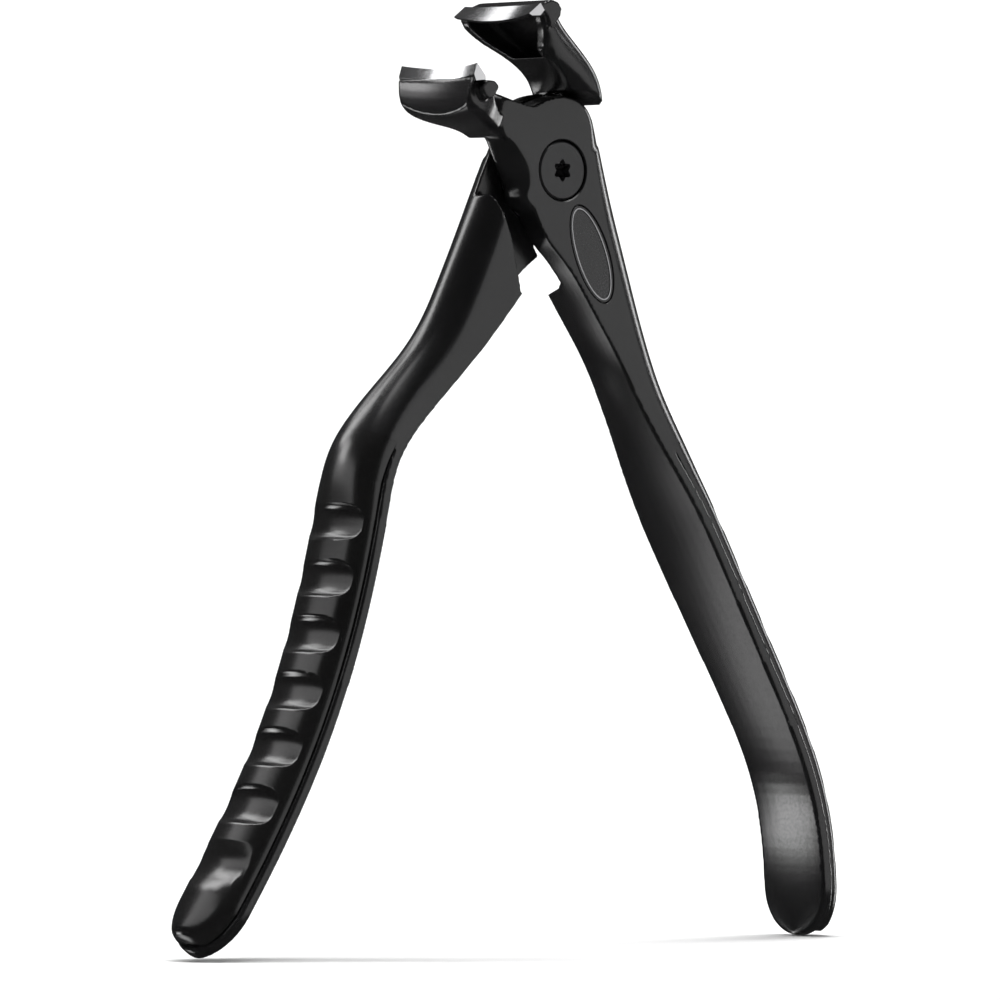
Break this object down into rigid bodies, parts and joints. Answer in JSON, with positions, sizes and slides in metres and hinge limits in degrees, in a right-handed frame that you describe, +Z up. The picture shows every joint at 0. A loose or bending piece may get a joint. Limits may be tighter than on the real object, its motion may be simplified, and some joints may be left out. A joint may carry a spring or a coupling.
{
  "type": "hoof nipper",
  "caption": "Angled-head hoof nipper: two black levers crossing in a lap joint, with broad curved handles, grip pads, bevelled steel blades and a flush pivot screw.",
  "frame": {"origin": "middle of the box's bottom: the surface that the two handle ends stand on", "axes": "+Z up through the open tool, +X across it towards the right handle, +Y from the screw head through the joint"},
  "size_m": [0.2162, 0.0308, 0.2456],
  "materials": {
    "coating": "satin black coating on forged steel",
    "blade_steel": "ground bevels",
    "grip_polymer": "smooth moulded pad",
    "fastener": "blackened steel",
    "bronze": "plain bearing bronze",
    "washer_steel": "hardened steel",
    "badge": "satin black oval plate"
  },
  "bodies": {
    "front": {"front_lever": "coating", "front_blade": "blade_steel", "front_grip_pad": "grip_polymer", "oval_badge": "badge", "pivot_screw": "fastener", "head_washer": "washer_steel", "pivot_bushing": "bronze", "thrust_washer": "washer_steel", "disc_spring": "washer_steel", "sleeve_nut": "fastener"},
    "rear": {"rear_lever": "coating", "rear_blade": "blade_steel", "rear_grip_pad": "grip_polymer"}
  },
  "joints": [
    {"name": "jaw_pivot", "type": "hinge", "parent": "front", "child": "rear", "pos_m": [0.01196, 0, 0.20164], "axis": [0, -1, 0], "range_deg": [-10, 28]}
  ]
}
